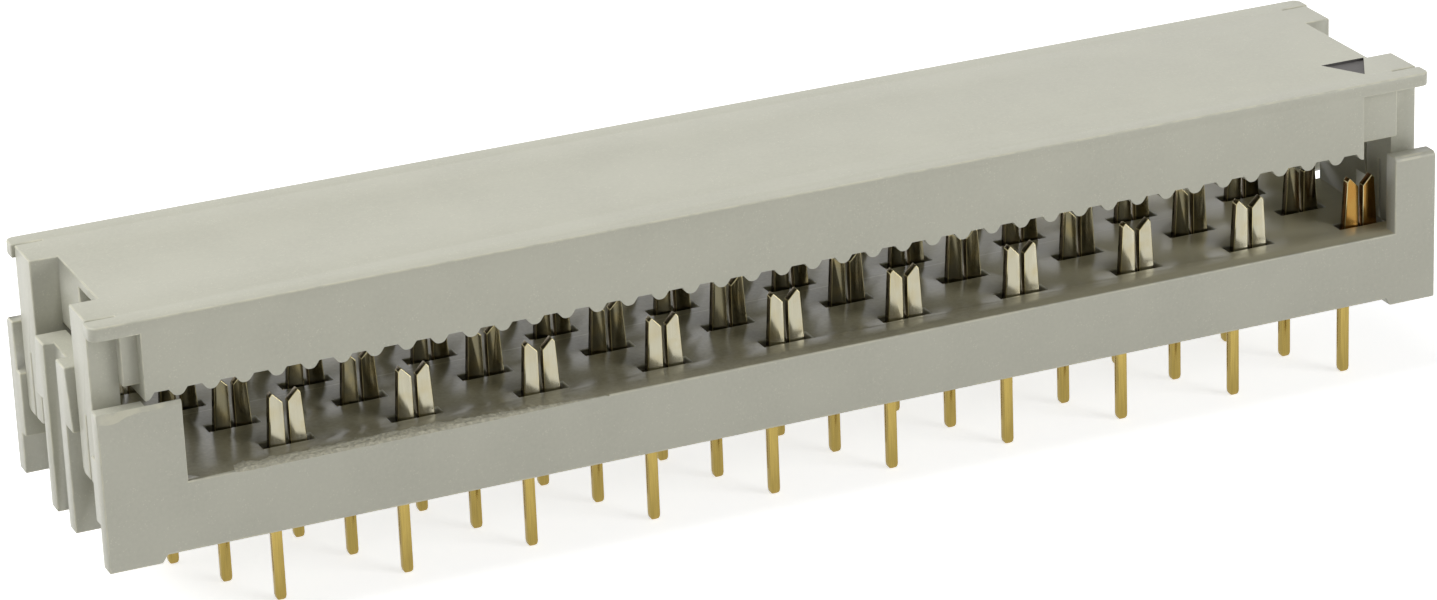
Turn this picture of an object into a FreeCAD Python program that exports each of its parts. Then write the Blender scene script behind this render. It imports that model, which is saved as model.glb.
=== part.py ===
import FreeCAD, Part
import math
import os

# Ribbon cable connector: a base block that carries four staggered rows of
# stamped fork contacts, and a cover that is pressed down on the cable.
# X runs along the row of wires, Y along the cable, Z up.
# The origin is midway along and across the block, level with the tail tips.

# Wires and contact pattern
wire_pitch = 1.27
row_count = 4
contacts_per_row = 10
row_gap = 2.54
slot_shift = 0.7

# Contact blade, fork and solder tail
sheet = 0.35
tail_width = 0.4
tail_length = 3.25
tail_tip_length = 0.22
tail_tip_share = 0.5
fork_height = 2.05
fork_foot_half = 0.74
fork_top_half = 0.62
fork_peak_half = 0.5
fork_peak_drop = 0.15
fork_slot = 0.2
fork_vee_drop = 0.42
slot_below_floor = 0.6
blade_height = 2.0
blade_sink = 0.15
mouth_depth = 0.5
mouth_side = 0.1
mouth_gap = 0.13
contact_clearance = 0.02

# Base housing
floor_thickness = 2.75
foot_height = 0.3
foot_length = 2.04
foot_slope = 0.2
end_length = 2.54
row_margin = 1.79
post_thickness = 0.72
flange_clearance = 0.07
post_bevel = 0.12
pocket_depth = 1.4
pad_rise = 1.7
pad_height = 2.6
pad_thickness = 0.46
pad_gap = 0.07

# Latch tower in the middle of each end of the base
tower_channel_half = 0.78
tower_channel_depth = 0.42
fin_thickness = 0.7
tooth_clearance = 0.17
tooth_taper = 0.43
tooth_height = 2.45
tower_drop = 0.1

# Cover
cover_height = 3.15
cover_press_gap = 0.7
cover_travel = 2.6
stop_clearance = 0.1
body_clearance = 0.08
skirt_thickness = 0.5
groove_depth = 0.28
groove_top = 0.55
comb_tip = 0.3
comb_round = 0.25
skirt_run_clearance = 0.06
end_step = 0.5
lip_thickness = 0.55
lip_overhang = 0.11
lip_corner = 0.35
lip_slit = 0.08
ear_length = 1.1
ear_width = 1.9
leg_ground_gap = 0.25
leg_slit_offset = 0.9
leg_slit_width = 0.14
leg_slit_height = 2.6
leg_tip_bevel = 0.2
well_end_clearance = 0.12
well_face_clearance = 0.245
well_clearance = 0.3
end_recess_width = 1.8
end_recess_height = 1.1
end_recess_depth = 0.8
end_recess_roof = 0.4

# Pin-one mark sunk in the cover's top
mark_width = 1.95
mark_length = 1.75
mark_depth = 0.1
mark_base_y = -2.45

# Sizes that follow from the ones above
wire_count = row_count * contacts_per_row
cable_width = wire_pitch * wire_count
half_length = cable_width / 2 + end_length
row_half = row_gap * (row_count - 1) / 2
half_depth = row_half + row_margin
post_inner = half_depth - post_thickness
window_left = slot_shift - cable_width / 2
window_right = slot_shift + cable_width / 2

foot_z = tail_length
base_z = foot_z + foot_height
floor_z = base_z + floor_thickness
closed_z = floor_z + cover_press_gap
under_z = closed_z + cover_travel
top_z = under_z + cover_height
lip_z = top_z - lip_thickness
post_z = lip_z - cover_travel - stop_clearance
tower_z = top_z - cover_travel - tower_drop
tooth_z = tower_z - tooth_height
blade_top = floor_z - blade_sink
blade_z = blade_top - blade_height
fork_z = floor_z + fork_height

pocket_x = half_length - pocket_depth
body_half = pocket_x + body_clearance
latch_x = body_half + body_clearance
ear_end = body_half + ear_length
lip_end = ear_end + lip_overhang
body_depth = post_inner - body_clearance
skirt_y = body_depth + skirt_thickness
skirt_left = slot_shift - wire_pitch - cable_width / 2
skirt_right = skirt_left + cable_width
groove_mouth = wire_pitch - comb_tip
well_half_length = fork_foot_half + well_end_clearance
well_half_width = sheet / 2 + well_face_clearance
well_z = fork_z + cover_travel + well_clearance
ear_outer = post_inner - pad_thickness - pad_gap
ear_inner = ear_outer - ear_width
leg_slit_inner = ear_inner + leg_slit_offset
leg_z = foot_z + leg_ground_gap + cover_travel
tooth_tip = ear_inner - tooth_clearance
tooth_root = tooth_tip - tooth_taper
blade_half = slot_shift + tail_width / 2


def box(x0, x1, y0, y1, z0, z1):
    """A block between two corners."""
    return Part.makeBox(x1 - x0, y1 - y0, z1 - z0, FreeCAD.Vector(x0, y0, z0))


def prism(points, along):
    """A flat outline of (x, y, z) points, carried straight along a vector."""
    corners = [FreeCAD.Vector(*point) for point in points]
    wire = Part.makePolygon(corners + [corners[0]])
    return Part.Face(wire).extrude(FreeCAD.Vector(*along))


def mirror(shape, normal):
    """The same shape on the other side of the middle plane."""
    return shape.mirror(FreeCAD.Vector(0, 0, 0), FreeCAD.Vector(*normal))


def both_sides(shapes, normal):
    """The shapes and their mirror images."""
    return shapes + [mirror(shape, normal) for shape in shapes]


def join(shapes):
    """One solid from shapes that share volume or faces."""
    return shapes[0].multiFuse(shapes[1:]).removeSplitter().Solids[0]


def carve(solid, tools):
    """The solid without the space that the tools take."""
    return solid.cut(Part.makeCompound(tools)).removeSplitter().Solids[0]


def wire_x(number):
    """Where a wire of the cable lies, counted from the left."""
    return slot_shift + wire_pitch * (number - (wire_count - 1) / 2)


def contact_places():
    """Name, x and y of every contact; row a is at the front."""
    places = []
    for row in range(row_count):
        for place in range(contacts_per_row):
            number = row_count * place + row_count - 1 - row
            name = "contact_%s%02d" % ("abcdefgh"[row], place + 1)
            places.append((name, wire_x(number), row_gap * row - row_half))
    return places


def contact_outline():
    """The stamped blank seen from the front: tail, blade and two prongs."""
    tail_left = -blade_half
    tail_right = tail_left + tail_width
    tip = tail_width * (1 - tail_tip_share) / 2
    vee_z = fork_z - fork_vee_drop
    root_z = floor_z - slot_below_floor
    outer_z = fork_z - fork_peak_drop
    slot_half = fork_slot / 2
    return [
        (tail_left + tip, 0), (tail_right - tip, 0),
        (tail_right, tail_tip_length), (tail_right, blade_z),
        (blade_half, blade_z), (blade_half, blade_top),
        (fork_foot_half, blade_top), (fork_foot_half, floor_z),
        (fork_top_half, outer_z), (fork_peak_half, fork_z),
        (slot_half, vee_z), (slot_half, root_z),
        (-slot_half, root_z), (-slot_half, vee_z),
        (-fork_peak_half, fork_z), (-fork_top_half, outer_z),
        (-fork_foot_half, floor_z), (-fork_foot_half, blade_top),
        (-blade_half, blade_top), (tail_left, tail_tip_length),
    ]


def contact():
    """One contact at x = 0, y = 0: flat sheet, pinched to a point at the tail."""
    back = sheet / 2
    tip = back * tail_tip_share
    blank = prism([(x, -back, z) for x, z in contact_outline()], (0, sheet, 0))
    side = [(-tip, 0), (tip, 0), (back, tail_tip_length), (back, fork_z)]
    side += [(-back, fork_z), (-back, tail_tip_length)]
    reach = 2 * blade_half
    envelope = prism([(-reach, y, z) for y, z in side], (2 * reach, 0, 0))
    return blank.common(envelope).Solids[0]


def contact_seat(x, y):
    """The hole that a contact fills: tail hole, blade slot and wider mouth."""
    play = contact_clearance
    tail_left = x - blade_half
    blade = sheet / 2 + play
    mouth_x = blade_half + mouth_side
    mouth_y = sheet / 2 + mouth_gap
    return [
        box(tail_left - play, tail_left + tail_width + play, y - blade, y + blade, base_z, blade_z),
        box(x - blade_half - play, x + blade_half + play, y - blade, y + blade, blade_z, floor_z),
        box(x - mouth_x, x + mouth_x, y - mouth_y, y + mouth_y, floor_z - mouth_depth, floor_z),
    ]


def post(x0, x1, low):
    """A length of a rear corner post, with its top outer edge bevelled."""
    bevel = post_bevel
    outline = [
        (x0, post_inner, low), (x0, half_depth, low),
        (x0, half_depth, post_z - bevel), (x0, half_depth - bevel, post_z),
        (x0, post_inner, post_z),
    ]
    return prism(outline, (x1 - x0, 0, 0))


def guide_pad(x0, x1):
    """The thicker middle of a rear post, which the cover's leg slides on."""
    low = foot_z + pad_rise
    return box(x0, x1, ear_outer + pad_gap, post_inner, low, low + pad_height)


def foot_strip(x0, x1, slope):
    """The raised strip under one end, with its inner side sloping up."""
    outline = [(x0, -half_depth, foot_z), (x1, -half_depth, foot_z)]
    if slope > 0:
        outline += [(x1 + slope, -half_depth, base_z), (x0, -half_depth, base_z)]
    else:
        outline += [(x1, -half_depth, base_z), (x0 + slope, -half_depth, base_z)]
    return prism(outline, (0, 2 * half_depth, 0))


def latch_fin():
    """The rear fin of the left tower: a straight rib with a sloped tooth."""
    inner = tower_channel_half
    outer = inner + fin_thickness
    outline = [
        (inner, foot_z), (outer, foot_z), (outer, tooth_z),
        (tooth_tip, tooth_z), (tooth_root, tower_z), (inner, tower_z),
    ]
    x0 = -half_length
    return prism([(x0, y, z) for y, z in outline], (-latch_x - x0, 0, 0))


def latch_tower():
    """The left end's latch: two fins and the wall that joins them."""
    fins = both_sides([latch_fin()], (0, 1, 0))
    x0 = -half_length + tower_channel_depth
    half = tower_channel_half
    wall = box(x0, -latch_x, -half, half, foot_z, tower_z)
    root_half = tower_channel_half + fin_thickness
    root = box(-latch_x, -pocket_x, -root_half, root_half, foot_z, floor_z)
    return fins + [wall, root]


def base_housing():
    """The base: block, four posts, end pockets, feet and contact holes."""
    block = box(-pocket_x, pocket_x, -half_depth, half_depth, base_z, floor_z)
    foot_x = half_length - foot_length
    rear = [
        post(-half_length, -pocket_x, foot_z),
        post(-pocket_x, window_left, base_z),
        post(window_right, pocket_x, base_z),
        post(pocket_x, half_length, foot_z),
        guide_pad(-half_length, -latch_x),
        guide_pad(latch_x, half_length),
    ]
    feet = [
        foot_strip(-pocket_x, -foot_x, foot_slope),
        foot_strip(foot_x, pocket_x, -foot_slope),
    ]
    towers = both_sides(latch_tower(), (1, 0, 0))
    solid = join([block] + both_sides(rear, (0, 1, 0)) + feet + towers)
    tools = []
    for name, x, y in contact_places():
        tools += contact_seat(x, y)
    tools += both_sides([skirt_guide()], (0, 1, 0))
    return carve(solid, tools)


def skirt_guide():
    """The slot in the rear left post that takes the end of the skirt."""
    x0 = skirt_left - skirt_run_clearance
    y1 = skirt_y + flange_clearance
    z0 = closed_z - stop_clearance
    return box(x0, window_left, post_inner, y1, z0, post_z)


def cover_groove(x):
    """The wire groove that crosses the cover's underside at x. Its roof is flat, its sides
    slope, and the comb teeth between two grooves are rounded where they meet the wire."""
    low = groove_mouth / 2
    high = groove_top / 2
    roof = under_z + groove_depth
    slope = math.atan2(groove_depth, low - high)
    reach = low + comb_round * math.tan(slope / 2)

    def on_round(side, turn):
        """A point of the tooth's round, turned from its lowest point."""
        across = reach - comb_round * math.sin(turn)
        up = comb_round * (1 - math.cos(turn))
        return FreeCAD.Vector(x + side * across, -skirt_y, under_z + up)

    def rounded(side):
        points = [on_round(side, share * slope) for share in (0, 0.5, 1)]
        return Part.Arc(*points).toShape()

    corners = [
        on_round(1, slope),
        FreeCAD.Vector(x + high, -skirt_y, roof),
        FreeCAD.Vector(x - high, -skirt_y, roof),
        on_round(-1, slope),
    ]
    below = [
        on_round(-1, 0),
        FreeCAD.Vector(x - reach, -skirt_y, under_z - comb_round),
        FreeCAD.Vector(x + reach, -skirt_y, under_z - comb_round),
        on_round(1, 0),
    ]
    edges = [rounded(1)] + Part.makePolygon(corners).Edges
    edges += [rounded(-1)] + Part.makePolygon(below).Edges
    return Part.Face(Part.Wire(edges)).extrude(FreeCAD.Vector(0, 2 * skirt_y, 0))


def fork_well(x, y):
    """The pocket that clears a fork when the cover is down."""
    return box(x - well_half_length, x + well_half_length,
               y - well_half_width, y + well_half_width, under_z, well_z)


def cover_lip(side):
    """One of the cover's long top edges, with its two outer corners rounded."""
    inner = side * (ear_outer + lip_slit)
    outer = side * skirt_y
    r = lip_corner
    z = lip_z
    turn = r * (1 - 0.5 ** 0.5)
    left = -lip_end
    right = lip_end
    near = outer - side * r
    edges = [
        Part.LineSegment(FreeCAD.Vector(left, inner, z), FreeCAD.Vector(left, near, z)),
        Part.Arc(FreeCAD.Vector(left, near, z),
                 FreeCAD.Vector(left + turn, outer - side * turn, z),
                 FreeCAD.Vector(left + r, outer, z)),
        Part.LineSegment(FreeCAD.Vector(left + r, outer, z), FreeCAD.Vector(right - r, outer, z)),
        Part.Arc(FreeCAD.Vector(right - r, outer, z),
                 FreeCAD.Vector(right - turn, outer - side * turn, z),
                 FreeCAD.Vector(right, near, z)),
        Part.LineSegment(FreeCAD.Vector(right, near, z), FreeCAD.Vector(right, inner, z)),
        Part.LineSegment(FreeCAD.Vector(right, inner, z), FreeCAD.Vector(left, inner, z)),
    ]
    wire = Part.Wire([edge.toShape() for edge in edges])
    return Part.Face(wire).extrude(FreeCAD.Vector(0, 0, lip_thickness))


def cover_leg():
    """The rear left leg: an ear at the top and two tines below."""
    b = leg_tip_bevel
    x0 = -ear_end
    slit_outer = leg_slit_inner + leg_slit_width
    slit_z = leg_z + leg_slit_height
    outline = [
        (ear_inner, leg_z + b), (ear_inner + b, leg_z),
        (leg_slit_inner, leg_z), (leg_slit_inner, slit_z),
        (slit_outer, slit_z), (slit_outer, leg_z),
        (ear_outer - b, leg_z), (ear_outer, leg_z + b),
        (ear_outer, top_z), (ear_inner, top_z),
    ]
    return prism([(x0, y, z) for y, z in outline], (ear_length, 0, 0))


def pin_one_mark():
    """The three-cornered recess in the top above the front right contact."""
    x = wire_x(wire_count - 1)
    half = mark_width / 2
    z = top_z - mark_depth
    outline = [
        (x - half, mark_base_y, z), (x + half, mark_base_y, z),
        (x, mark_base_y - mark_length, z),
    ]
    return prism(outline, (0, 0, mark_depth))


def end_recess():
    """The small hollow in the left end wall, under the top skin."""
    z1 = top_z - end_recess_roof
    return box(-body_half, -body_half + end_recess_depth, -end_recess_width, 0,
               z1 - end_recess_height, z1)


def cover():
    """The press-on cover in its raised place."""
    raised = under_z + end_step
    parts = [
        box(-body_half, body_half, -body_depth, body_depth, raised, top_z),
        box(skirt_left, skirt_right, -skirt_y, skirt_y, under_z, lip_z),
        cover_lip(-1),
        cover_lip(1),
        box(-body_half, body_half, -ear_outer - lip_slit, ear_outer + lip_slit, lip_z, top_z),
    ]
    legs = both_sides(both_sides([cover_leg()], (0, 1, 0)), (1, 0, 0))
    solid = join(parts + legs)
    tools = [cover_groove(wire_x(number - 1)) for number in range(wire_count)]
    tools += [fork_well(x, y) for name, x, y in contact_places()]
    half_turn = end_recess()
    half_turn.rotate(FreeCAD.Vector(0, 0, 0), FreeCAD.Vector(0, 0, 1), 180)
    tools += [pin_one_mark(), end_recess(), half_turn]
    return carve(solid, tools)


def save(shape, name):
    """Write one solid under its node name."""
    if not shape.isValid() or len(shape.Solids) != 1:
        raise ValueError(name + " is not one valid solid")
    shape.exportStep("parts/" + name + ".step")


os.makedirs("parts", exist_ok=True)
save(base_housing(), "base_housing")
save(cover(), "cover")
blank_contact = contact()
for name, x, y in contact_places():
    save(blank_contact.translated(FreeCAD.Vector(x, y, 0)), name)
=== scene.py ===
import bmesh
import bpy
import math
import numpy as np
from mathutils import Matrix, Vector


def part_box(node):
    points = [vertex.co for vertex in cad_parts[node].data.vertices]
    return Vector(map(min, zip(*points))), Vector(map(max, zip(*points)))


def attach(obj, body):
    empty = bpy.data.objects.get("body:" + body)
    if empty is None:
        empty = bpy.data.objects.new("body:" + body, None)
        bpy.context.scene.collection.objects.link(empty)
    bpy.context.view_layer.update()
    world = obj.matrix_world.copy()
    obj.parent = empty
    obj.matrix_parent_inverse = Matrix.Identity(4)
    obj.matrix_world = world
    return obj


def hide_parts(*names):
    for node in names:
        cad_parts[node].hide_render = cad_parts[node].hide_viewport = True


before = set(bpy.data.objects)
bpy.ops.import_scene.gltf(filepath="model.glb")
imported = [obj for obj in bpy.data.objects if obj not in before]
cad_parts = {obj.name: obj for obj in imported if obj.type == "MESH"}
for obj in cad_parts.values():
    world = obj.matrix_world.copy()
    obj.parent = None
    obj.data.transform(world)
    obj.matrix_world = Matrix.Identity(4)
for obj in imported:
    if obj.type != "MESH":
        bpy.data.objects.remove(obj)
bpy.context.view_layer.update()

# Lengths are in millimetres. Those multiplied by mm, and the studio's, are in metres.
mm = 0.001


# Base housing: one moulding of grey plastic filled with glass fibre, which shows as pale
# flecks. The mould rounds every outer edge a little. The block's floor is polished, and
# the left front post and the floor's front edge were trimmed by hand.
base_grey = (0.445, 0.440, 0.365)
# The rounded edges are painted in this paler grey: painted highlight.
edge_highlight_grey = (0.560, 0.545, 0.430)
# The floor's grey is darker than the plastic's: painted shade, for the shade under the cover.
floor_grey_with_painted_shade = (0.400, 0.375, 0.270)
torn_grey = (0.500, 0.480, 0.380)
skin_roughness = 0.38
edge_roughness = 0.36
floor_roughness = 0.26
torn_roughness = 0.75
cloud_size = 3.0
grain_size = 0.16
fleck_spacing = 0.11
fleck_patch_size = 0.5
edge_highlight_patch_size = 0.6
pore_size = 0.12
pore_depth = 0.006
pore_strength = 0.6

weld_within = 1e-3 * mm
flat_within_degrees = 0.5
rounded_from_degrees = 25
creased_from_degrees = 4
edge_round = 0.06 * mm
edge_round_steps = 2
level_within = 0.01
cut_within = 1e-4 * mm

# The least share of a face's unit normal along an axis, for a face that looks that way.
facing = 0.9
squarely_facing = 0.99
roughly_facing = 0.8

floor_z = 6.3
floor_front_y = -5.6
# Over this span of X the floor grows paler: painted light, for the brighter right end.
floor_painted_light_x = (4.0, 22.0)
witness_line_y = 0.45

trim_x = (-27.95, -27.5, -27.2, -26.8, -26.4, -25.8, -25.2, -24.7)
trim_drop = (0.22, 0.30, 0.27, 0.10, 0.04, 0.06, 0.00, 0.00)
trim_steps = 25
trim_z = 9.3
trim_y = -5.4
trim_leans_front = 0.2
trim_leans_up = 0.1

torn_from = -22.9
torn_to = -7.9
torn_fade = (0.2, 5.0)
torn_waves = ((5.3, 9.0, 0.0), (11.9, -17.0, 1.3), (23.7, 5.0, 0.0))
torn_lump_height = 0.016
torn_rim_drop = 0.07
torn_rim_wave = 0.02
torn_reach_z = 0.2
polished_reach_z = 0.3
strip_back_y = -4.85
strip_back_margin = 0.02
strip_cuts_y = (-5.45, -5.3, -5.15, -5.0)
strip_step_x = 0.16
scar_fade = (0.15, 7.0)
scar_width = 0.74
scar_lump_size = 0.5
scar_grain_size = 0.15
scar_depth = 0.025


def welded(node, convex):
    """The node's solid as one closed mesh: doubled corners merged, flat faces whole."""
    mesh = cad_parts[node].data.copy()
    mesh.materials.clear()
    work = bmesh.new()
    work.from_mesh(mesh)
    bmesh.ops.remove_doubles(work, verts=work.verts, dist=weld_within)
    bmesh.ops.dissolve_limit(work, angle_limit=math.radians(flat_within_degrees),
                             verts=work.verts, edges=work.edges)
    if convex:
        bmesh.ops.connect_verts_concave(work, faces=work.faces)
    work.to_mesh(mesh)
    work.free()
    return mesh


def shown(mesh, name, body, node):
    """Show a mesh as the finished form of a node, on that node's body."""
    piece = bpy.data.objects.new(name, mesh)
    bpy.context.scene.collection.objects.link(piece)
    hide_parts(node)
    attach(piece, body)
    return piece


def corners_of(mesh):
    """Every corner of a mesh, one row each."""
    place = np.empty(3 * len(mesh.vertices), np.float32)
    mesh.vertices.foreach_get("co", place)
    return place.reshape(-1, 3).astype(float) / mm


def move_corners(mesh, place):
    """Put every corner of a mesh at its own row of these places."""
    mesh.vertices.foreach_set("co", (place * mm).astype(np.float32).ravel())
    mesh.update()


def soften(piece, width, slot, creased_from, kept_sharp=None):
    """Round each sharp outward edge, with the new faces in this material slot. Other edges
    that turn by more than creased_from degrees are shaded as creases. kept_sharp says of an
    edge's middle whether the edge isn't rounded."""
    mesh = piece.data
    work = bmesh.new()
    work.from_mesh(mesh)
    turn = np.array([e.calc_face_angle() for e in work.edges])
    outward = np.array([e.is_convex for e in work.edges])
    middle = np.array([(e.verts[0].co + e.verts[1].co) / 2 for e in work.edges]) / mm
    work.free()
    rounded = (turn > math.radians(rounded_from_degrees)) & outward
    if kept_sharp:
        rounded &= ~kept_sharp(*middle.T)
    weight = mesh.attributes.new("bevel_weight_edge", "FLOAT", "EDGE")
    weight.data.foreach_set("value", rounded.astype(np.float32))
    crease = mesh.attributes.new("sharp_edge", "BOOLEAN", "EDGE")
    crease.data.foreach_set("value", (turn > math.radians(creased_from)) & ~rounded)
    mesh.polygons.foreach_set("use_smooth", np.ones(len(mesh.polygons), bool))
    bevel = piece.modifiers.new("rounded edges", "BEVEL")
    bevel.width = width
    bevel.segments = edge_round_steps
    bevel.limit_method = "WEIGHT"
    bevel.use_clamp_overlap = False
    bevel.harden_normals = True
    bevel.material = slot


class Finish:
    """A material whose nodes are joined by short calls. Patterns lie in millimetres."""

    def __init__(self, name):
        self.material = bpy.data.materials.new(name)
        self.material.use_nodes = True
        self.nodes = self.material.node_tree.nodes
        self.links = self.material.node_tree.links
        self.shader = self.nodes["Principled BSDF"]
        place = self.nodes.new("ShaderNodeTexCoord").outputs["Object"]
        scaled = self.nodes.new("ShaderNodeVectorMath")
        scaled.operation = "SCALE"
        scaled.inputs["Scale"].default_value = 1 / mm
        self.links.new(place, scaled.inputs[0])
        self.place = scaled.outputs["Vector"]

    def put(self, value, socket):
        """Set a socket to a number or colour, or join it to another node."""
        if isinstance(value, bpy.types.NodeSocket):
            self.links.new(value, socket)
        elif isinstance(value, tuple):
            socket.default_value = (*value, 1) if len(socket.default_value) == 4 else value
        else:
            socket.default_value = value

    def set(self, **values):
        """Set the shader's own sockets by name, with spaces as underscores."""
        for name, value in values.items():
            self.put(value, self.shader.inputs[name.replace("_", " ")])

    def stretched(self, x, y, z):
        """The place, with each axis multiplied."""
        node = self.nodes.new("ShaderNodeVectorMath")
        node.operation = "MULTIPLY"
        self.links.new(self.place, node.inputs[0])
        node.inputs[1].default_value = (x, y, z)
        return node.outputs["Vector"]

    def noise(self, size, detail=2.0, place=None):
        """Cloudy values with lumps of about this size. Nearly all lie from 0.3 to 0.7, so a
        ramp over a narrower range shows them with more contrast."""
        node = self.nodes.new("ShaderNodeTexNoise")
        self.put(self.place if place is None else place, node.inputs["Vector"])
        self.put(1 / size, node.inputs["Scale"])
        self.put(detail, node.inputs["Detail"])
        return node.outputs["Fac"]

    def grains(self, spacing):
        """Distance from the nearest of many scattered grains, as a share of their spacing."""
        node = self.nodes.new("ShaderNodeTexVoronoi")
        self.put(self.place, node.inputs["Vector"])
        self.put(1 / spacing, node.inputs["Scale"])
        return node.outputs["Distance"]

    def ramp(self, value, start, end, low=0.0, high=1.0):
        """The value carried from the range start..end to low..high, and held there."""
        node = self.nodes.new("ShaderNodeMapRange")
        for socket, number in zip(node.inputs[:5], (value, start, end, low, high)):
            self.put(number, socket)
        return node.outputs["Result"]

    def combine(self, kind, first, second=0.0):
        """One step of arithmetic on two values, or on the first alone."""
        node = self.nodes.new("ShaderNodeMath")
        node.operation = kind
        self.put(first, node.inputs[0])
        self.put(second, node.inputs[1])
        return node.outputs["Value"]

    def axis(self, letter):
        """One coordinate of the place."""
        node = self.nodes.new("ShaderNodeSeparateXYZ")
        self.links.new(self.place, node.inputs[0])
        return node.outputs[letter]

    def mix(self, share, low, high):
        """A colour between two, by a share from 0 to 1."""
        node = self.nodes.new("ShaderNodeMix")
        node.data_type = "RGBA"
        self.put(share, node.inputs["Factor"])
        self.put(low, node.inputs[6])
        self.put(high, node.inputs[7])
        return node.outputs[2]

    def relief(self, height, depth, strength=1.0):
        """Raise the surface by a height of 0 to 1 times a depth."""
        node = self.nodes.new("ShaderNodeBump")
        self.put(height, node.inputs["Height"])
        self.put(depth * mm, node.inputs["Distance"])
        self.put(strength, node.inputs["Strength"])
        self.links.new(node.outputs["Normal"], self.shader.inputs["Normal"])


def shade(colour, share):
    """A colour made lighter or darker by a share."""
    return tuple(share * c for c in colour)


def glass_filled(name, grey):
    """Moulded plastic: faint clouds, a fine grain, and pale flecks of fibre in patches."""
    finish = Finish(name)
    cloud = finish.ramp(finish.noise(cloud_size), 0.35, 0.65)
    grain = finish.ramp(finish.noise(grain_size, 3.0), 0.3, 0.7)
    skin = finish.mix(cloud, shade(grey, 0.97), shade(grey, 1.03))
    skin = finish.mix(finish.combine("MULTIPLY", grain, 0.5), skin, shade(grey, 1.10))
    fleck = finish.ramp(finish.grains(fleck_spacing), 0.10, 0.34, 0.65, 0.0)
    patch = finish.ramp(finish.noise(fleck_patch_size), 0.46, 0.64)
    skin = finish.mix(finish.combine("MULTIPLY", fleck, patch), skin, shade(grey, 1.32))
    finish.set(Base_Color=skin, Roughness=skin_roughness)
    finish.relief(finish.noise(pore_size), pore_depth, pore_strength)
    return finish


def highlighted_edge(name, grey):
    """The rounded edges, painted paler as a painted highlight, more in some places than others.
    """
    finish = Finish(name)
    highlight_share = finish.ramp(finish.noise(edge_highlight_patch_size, 3.0), 0.34, 0.58)
    finish.set(Base_Color=finish.mix(highlight_share, shade(grey, 1.04), edge_highlight_grey))
    finish.set(Roughness=edge_roughness)
    finish.relief(finish.noise(pore_size), pore_depth, pore_strength)
    return finish


def polished_floor(name, grey):
    """The block's floor: the same plastic off a polished mould, darker as painted shade under the
    cover and paler to the right as painted light, with a fine witness line between the rows,
    and torn and grainy along part of its front edge."""
    finish = Finish(name)
    x, y = finish.axis("X"), finish.axis("Y")
    grain = finish.ramp(finish.noise(grain_size, 3.0), 0.3, 0.7)
    # The grain keeps the floor darker than its grey: painted shade.
    skin = finish.mix(grain, shade(grey, 0.84), shade(grey, 0.98))
    # Painted light: the floor grows paler towards its right end.
    skin = finish.mix(finish.ramp(x, *floor_painted_light_x), skin, shade(grey, 1.45))
    line = finish.combine("ABSOLUTE", finish.combine("SUBTRACT", y, witness_line_y))
    line = finish.ramp(line, 0.02, 0.05, 0.5, 0.0)
    skin = finish.mix(line, skin, shade(grey, 1.6))
    width = finish.ramp(x, torn_from, torn_from + scar_fade[0], 0.0, scar_width)
    narrowing = finish.ramp(x, torn_to - scar_fade[1], torn_to, 1.0, 0.0)
    width = finish.combine("MULTIPLY", width, narrowing)
    raggedness = finish.ramp(finish.noise(scar_lump_size), 0.3, 0.7, 0.75, 1.1)
    width = finish.combine("MULTIPLY", width, raggedness)
    inward = finish.combine("SUBTRACT", y, floor_front_y)
    torn = finish.ramp(finish.combine("SUBTRACT", inward, width), -0.05, 0.02, 1.0, 0.0)
    rough = finish.ramp(finish.noise(scar_grain_size, 4.0), 0.34, 0.66)
    scar = finish.mix(rough, shade(torn_grey, 0.92), shade(torn_grey, 1.38))
    finish.set(Base_Color=finish.mix(torn, skin, scar))
    finish.set(Roughness=finish.ramp(torn, 0.0, 1.0, floor_roughness, torn_roughness))
    finish.relief(finish.combine("MULTIPLY", rough, torn), scar_depth)
    return finish


def cut_across(work, faces, places, axis):
    """Cut the faces by planes square to this axis, one at each place along it."""
    for place in places:
        parts = {part for f in faces if f.is_valid for part in (f, *f.verts, *f.edges)}
        out = bmesh.ops.bisect_plane(work, geom=list(parts), dist=cut_within,
                                     plane_co=Vector(axis) * place * mm,
                                     plane_no=Vector(axis))
        faces = [f for f in out["geom"] if isinstance(f, bmesh.types.BMFace)]


def in_strip(x, y, z):
    """Whether places lie in the torn strip along the floor's front edge."""
    along = (x > torn_from) & (x < torn_to) & (y < strip_back_y - strip_back_margin)
    return along & (np.abs(z - floor_z) < torn_reach_z)


def hand_cut(x, y, z):
    """Whether edges lie where the trimmed post or the torn strip was cut. They stay crisp."""
    post = (x < trim_x[-1]) & (y < trim_y) & (z > trim_z - max(trim_drop))
    return post | in_strip(x, y, z)


def floor_faces(work):
    """The faces that look up and lie level with the floor."""
    return [f for f in work.faces if f.normal.z > facing
            and abs(f.calc_center_median().z / mm - floor_z) < level_within]


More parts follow.
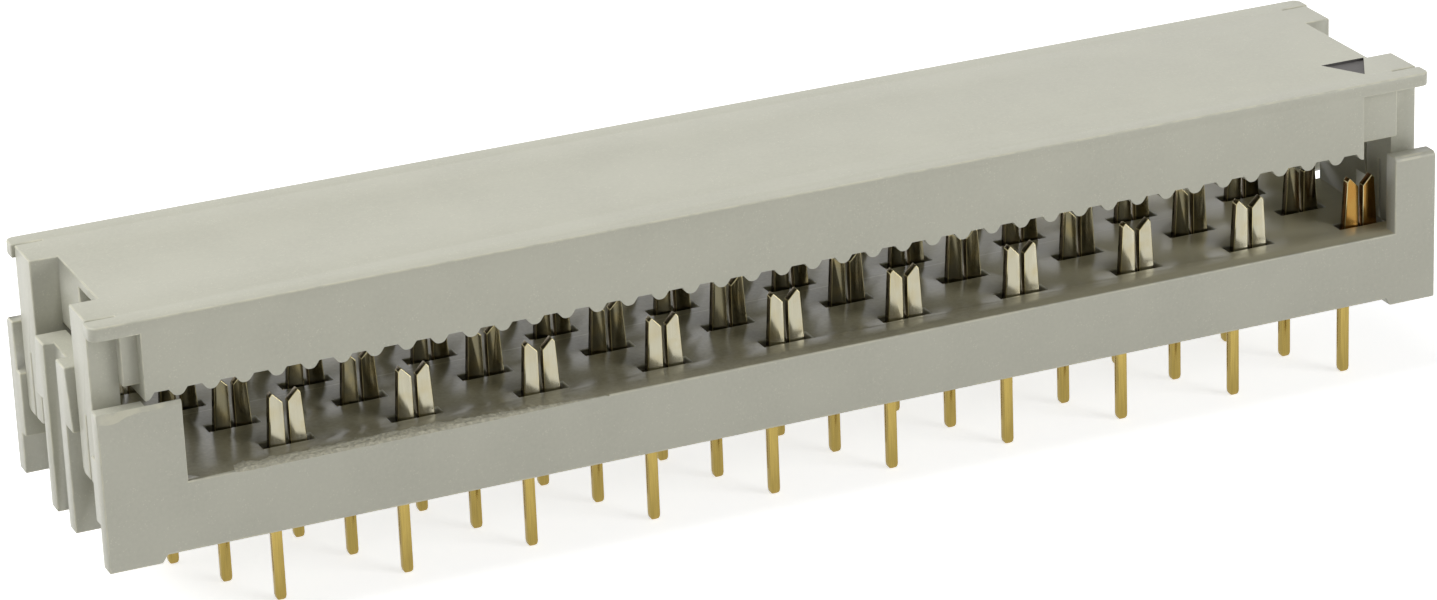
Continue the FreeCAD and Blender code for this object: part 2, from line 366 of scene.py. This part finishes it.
def trimmed_base():
    """The housing's mesh, with the left front post's top edge trimmed and a torn strip
    along the floor's front edge. The post's edge drops by trim_drop at trim_x, on straight
    lines between. The strip is lumpy by a sum of three sines of X and Y, and its rim is
    lowered and wavy by the same sum. Both fade out at the strip's ends."""
    mesh = welded("base_housing", convex=True)
    work = bmesh.new()
    work.from_mesh(mesh)
    post = [f for f in work.faces if f.calc_center_median().x / mm < trim_x[-1]
            and max(v.co.z for v in f.verts) / mm > trim_z
            and max(v.co.y for v in f.verts) / mm < strip_back_y
            and min(v.co.y for v in f.verts) / mm < trim_y]
    trim_cuts = np.linspace(trim_x[0], trim_x[-1], trim_steps + 1)[1:-1]
    cut_across(work, post, trim_cuts, (1, 0, 0))
    cut_across(work, floor_faces(work), (strip_back_y,), (0, 1, 0))
    rim = [e for e in work.edges
           if all(abs(v.co.z / mm - floor_z) < level_within
                  and abs(v.co.y / mm - floor_front_y) < level_within for v in e.verts)]
    strip = [f for e in rim for f in e.link_faces if f.normal.z > facing]
    cut_across(work, strip, np.arange(torn_from, torn_to, strip_step_x), (1, 0, 0))
    strip = [f for f in floor_faces(work)
             if torn_from < f.calc_center_median().x / mm < torn_to
             and f.calc_center_median().y / mm < strip_back_y]
    cut_across(work, strip, strip_cuts_y, (0, 1, 0))
    work.to_mesh(mesh)
    work.free()

    place = corners_of(mesh)
    x, y, z = place.T
    at_front = y < floor_front_y + level_within
    trimmed = at_front & (x < trim_x[-1] + level_within) & (z > trim_z)
    z[trimmed] -= np.interp(x, trim_x, trim_drop)[trimmed]
    torn = in_strip(x, y, z)
    fade_x = (torn_from, torn_from + torn_fade[0], torn_to - torn_fade[1], torn_to)
    fade = np.interp(x, fade_x, (0, 1, 1, 0))
    wave = sum(np.sin(along * x + start + inward * y) for along, inward, start in torn_waves)
    rim = torn & at_front
    z[torn] += (torn_lump_height * fade * wave)[torn]
    z[rim] -= (fade * (torn_rim_drop + torn_rim_wave * wave))[rim]
    move_corners(mesh, place)
    return mesh


def middles_of_faces(mesh):
    """Every face's middle and its normal, one row each."""
    centre = np.empty(3 * len(mesh.polygons), np.float32)
    normal = np.empty(3 * len(mesh.polygons), np.float32)
    mesh.polygons.foreach_get("center", centre)
    mesh.polygons.foreach_get("normal", normal)
    return centre.reshape(-1, 3).astype(float) / mm, normal.reshape(-1, 3)


base = shown(trimmed_base(), "base_moulding", "base", "base_housing")
for finish in (glass_filled("base plastic", base_grey),
               highlighted_edge("base edge highlight", base_grey),
               polished_floor("base floor", floor_grey_with_painted_shade)):
    base.data.materials.append(finish.material)
centre, normal = middles_of_faces(base.data)
polished = (normal[:, 2] > roughly_facing) & (np.abs(centre[:, 2] - floor_z) < polished_reach_z)
whittled = (centre[:, 0] < trim_x[-1]) & (centre[:, 1] < trim_y)
whittled &= (normal[:, 1] < -trim_leans_front) & (normal[:, 2] > trim_leans_up)
slots = np.where(polished, 2, whittled)
base.data.polygons.foreach_set("material_index", slots.astype(np.int32))
soften(base, edge_round, 1, creased_from_degrees, hand_cut)
chipped = polished & in_strip(*centre.T)
at_front = (normal[:, 1] < -squarely_facing) & (centre[:, 1] < floor_front_y + level_within)
base.data.polygons.foreach_set("use_smooth", ~(chipped | at_front))


# Contacts: forty blades stamped from copper alloy strip and pressed into the base. Each
# fork slits the cable's skin and grips one wire. The forks are pale, and darker in the inner
# rows under the cover as painted shade, with rounded edges painted bright as painted glints.
# The solder tails are gold, and the last fork of the front row is gold as well.
pale_metal = (0.365, 0.345, 0.260)
# The inner rows' forks, darker than the pale metal: painted shade under the cover.
fork_metal_in_painted_shade = (0.135, 0.122, 0.076)
gold_metal = (0.400, 0.295, 0.085)
amber_metal = (0.300, 0.160, 0.038)
# The blades' rounded edges are painted brighter than the forks: painted glints.
edge_glint_metal = (0.440, 0.390, 0.225)
sheared_pale = (0.110, 0.085, 0.048)
sheared_gold = (0.200, 0.085, 0.018)
streak_size = 0.05
streak_squash = 0.04
streak_depth = 0.001
streak_strength = 0.4
stain_size = 0.7
blade_round = 0.03 * mm
sheared_facing = 0.5
tail_end = 4.5
fork_start = 5.5
tip_length = 0.22
tip_cuts = (0.02, 0.06, 0.12)
tip_end_share = 0.4
tip_within = 0.005
contacts_per_row = 10
gold_fork = "contact_a10"


def plated(name, fork_colour):
    """Rolled strip: gold below and the fork's colour above, with fine upright streaks."""
    finish = Finish(name)
    up = finish.ramp(finish.axis("Z"), tail_end, fork_start)
    streak = finish.noise(streak_size, place=finish.stretched(1, 1, streak_squash))
    stain = finish.ramp(finish.noise(stain_size), 0.45, 0.75)
    fork = finish.mix(streak, shade(fork_colour, 0.88), shade(fork_colour, 1.12))
    fork = finish.mix(finish.combine("MULTIPLY", stain, 0.30), fork, shade(gold_metal, 0.8))
    tail = finish.mix(streak, shade(gold_metal, 0.75), shade(gold_metal, 1.2))
    finish.set(Base_Color=finish.mix(up, tail, fork), Metallic=1.0)
    finish.set(Roughness=finish.ramp(streak, 0.3, 0.7, 0.14, 0.22))
    finish.relief(streak, streak_depth, streak_strength)
    return finish.material


def rounded_tail(node):
    """The blade's mesh, with its tail's tip rounded: the width falls from the whole at
    tip_length to tip_end_share at the end, as a quarter of an ellipse."""
    mesh = welded(node, convex=False)
    work = bmesh.new()
    work.from_mesh(mesh)
    low = [f for f in work.faces if min(v.co.z for v in f.verts) / mm < tip_length]
    cut_across(work, low, tip_cuts, (0, 0, 1))
    work.to_mesh(mesh)
    work.free()
    place = corners_of(mesh)
    height = place[:, 2]
    shank = np.abs(height - tip_length) < tip_within
    tip = height < tip_length - tip_within
    middle = place[shank].mean(axis=0)
    half = np.ptp(place[shank], axis=0) / 2
    below = 1 - height[tip] / tip_length
    share = tip_end_share + (1 - tip_end_share) * np.sqrt(1 - below ** 2)
    for axis in (0, 1):
        side = np.sign(place[tip, axis] - middle[axis])
        place[tip, axis] = middle[axis] + side * half[axis] * share
    move_corners(mesh, place)
    return mesh


# The third slot, on the rounded edges, holds the painted glints.
edge_glint = plated("painted edge glint", edge_glint_metal)
sheared = plated("sheared edge", sheared_pale)
pale_strip = (plated("pale fork", pale_metal), sheared, edge_glint)
strip_in_painted_shade = (plated("fork in painted shade", fork_metal_in_painted_shade), sheared, edge_glint)
gold_strip = (plated("gold fork", amber_metal), plated("gold sheared edge", sheared_gold), edge_glint)
strips = {"a": pale_strip, "b": strip_in_painted_shade, "c": strip_in_painted_shade, "d": pale_strip}
for row in strips:
    for number in range(1, contacts_per_row + 1):
        node = "contact_%s%02d" % (row, number)
        blade = shown(rounded_tail(node), "blade_%s%02d" % (row, number), "base", node)
        for metal in gold_strip if node == gold_fork else strips[row]:
            blade.data.materials.append(metal)
        normal = middles_of_faces(blade.data)[1]
        cut_side = np.abs(normal[:, 1]) < sheared_facing
        blade.data.polygons.foreach_set("material_index", cut_side.astype(np.int32))
        soften(blade, blade_round, 2, creased_from_degrees)


# Cover: the second moulding, in the same grey plastic. It stands raised on its four legs
# until the cable is in place. Dark paint lies in the three-cornered pin-one mark.
cover_grey = (0.455, 0.450, 0.370)
mark_paint = (0.075, 0.070, 0.067)
paint_roughness = 0.55
paint_patch_size = 0.3
cover_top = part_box("cover")[1].z / mm
mark_left, mark_right = 24.4, 26.5
mark_front, mark_back = -4.3, -2.4
mark_depth = 0.3
comb_end = 26.1
comb_top = 10.05


def paint(name, colour):
    """Dark filling paint, matt and a little uneven."""
    finish = Finish(name)
    patch = finish.noise(paint_patch_size)
    finish.set(Base_Color=finish.mix(patch, shade(colour, 0.8), shade(colour, 1.3)))
    finish.set(Roughness=paint_roughness)
    return finish


def in_mark(x, y, z):
    """Whether places lie in or at the rim of the pin-one mark."""
    wide = (x > mark_left) & (x < mark_right) & (y > mark_front) & (y < mark_back)
    return wide & (z > cover_top - mark_depth)


def fine_edge(x, y, z):
    """Whether edges belong to the comb of cable grooves or to the mark. They stay crisp."""
    comb = (np.abs(x) < comb_end) & (z < comb_top)
    return comb | in_mark(x, y, z)


cover = shown(welded("cover", convex=False), "cover_moulding", "cover", "cover")
for finish in (glass_filled("cover plastic", cover_grey),
               highlighted_edge("cover edge highlight", cover_grey),
               paint("mark paint", mark_paint)):
    cover.data.materials.append(finish.material)
centre, normal = middles_of_faces(cover.data)
sunk = centre[:, 2] < cover_top - level_within
painted = in_mark(*centre.T) & sunk & (normal[:, 0] > -facing)
cover.data.polygons.foreach_set("material_index", np.where(painted, 2, 0).astype(np.int32))
soften(cover, edge_round, 1, rounded_from_degrees, fine_edge)


# Studio: white paper on a table, one broad soft lamp overhead, behind and to the left,
# and a weaker one in front at the right. The surroundings are white to the camera and in
# reflections, and dimmer as a light.
paper_half = 2.0
paper_colour = (0.80, 0.80, 0.80)
paper_roughness = 0.9
paper_glow = 0.71
sky_strength = 0.14
soft_lamps = {"overhead": (Vector((-0.24, 0.12, 0.42)), 0.45, 2.75),
              "front": (Vector((0.34, -0.40, 0.18)), 0.3, 1.28)}
view_azimuth = math.radians(-23.09)
view_elevation = math.radians(21.67)
view_roll = math.radians(2.335)
view_distance = 204.4 * mm
view_aim = Vector((-0.83, 0.46, 6.62)) * mm
view_lens = 131.0
view_sensor = 36.0


def seen_as_white(nodes, links):
    """1 for what the camera and its reflections see, and 0 for light on the object."""
    path = nodes.new("ShaderNodeLightPath").outputs
    seen = path["Is Camera Ray"]
    for ray in ("Is Glossy Ray", "Is Transmission Ray"):
        either = nodes.new("ShaderNodeMath")
        either.operation = "MAXIMUM"
        links.new(seen, either.inputs[0])
        links.new(path[ray], either.inputs[1])
        seen = either.outputs["Value"]
    return seen


paper = Finish("white paper")
paper.set(Base_Color=paper_colour, Roughness=paper_roughness, Emission_Color=(1.0, 1.0, 1.0))
seen = seen_as_white(paper.nodes, paper.links)
paper.set(Emission_Strength=paper.ramp(seen, 0.0, 1.0, 0.0, paper_glow))
mesh = bpy.data.meshes.new("table")
square = np.array([(-1, -1, 0), (1, -1, 0), (1, 1, 0), (-1, 1, 0)]) * paper_half
mesh.from_pydata(square.tolist(), [], [(0, 1, 2, 3)])
mesh.materials.append(paper.material)
table = bpy.data.objects.new("table", mesh)
bpy.context.scene.collection.objects.link(table)

world = bpy.data.worlds.new("white studio")
world.use_nodes = True
bpy.context.scene.world = world
nodes, links = world.node_tree.nodes, world.node_tree.links
level = nodes.new("ShaderNodeMapRange")
level.inputs["To Min"].default_value = sky_strength
level.inputs["To Max"].default_value = 1.0
links.new(seen_as_white(nodes, links), level.inputs["Value"])
links.new(level.outputs["Result"], nodes["Background"].inputs["Strength"])
nodes["Background"].inputs["Color"].default_value = (1, 1, 1, 1)

for name, (place, width, energy) in soft_lamps.items():
    light = bpy.data.lights.new(name, "AREA")
    light.size = width
    light.energy = energy
    lamp = bpy.data.objects.new(name, light)
    bpy.context.scene.collection.objects.link(lamp)
    turn = place.to_track_quat("Z", "Y").to_matrix()
    lamp.matrix_world = Matrix.Translation(place) @ turn.to_4x4()

lens = bpy.data.cameras.new("camera")
lens.lens = view_lens
lens.sensor_width = view_sensor
camera = bpy.data.objects.new("camera", lens)
bpy.context.scene.collection.objects.link(camera)
away = Vector((math.sin(view_azimuth) * math.cos(view_elevation),
               -math.cos(view_azimuth) * math.cos(view_elevation), math.sin(view_elevation)))
turn = away.to_track_quat("Z", "Y").to_matrix() @ Matrix.Rotation(-view_roll, 3, "Z")
camera.matrix_world = Matrix.Translation(view_aim + view_distance * away) @ turn.to_4x4()
bpy.context.scene.camera = camera
bpy.context.scene.view_settings.view_transform = "Standard"
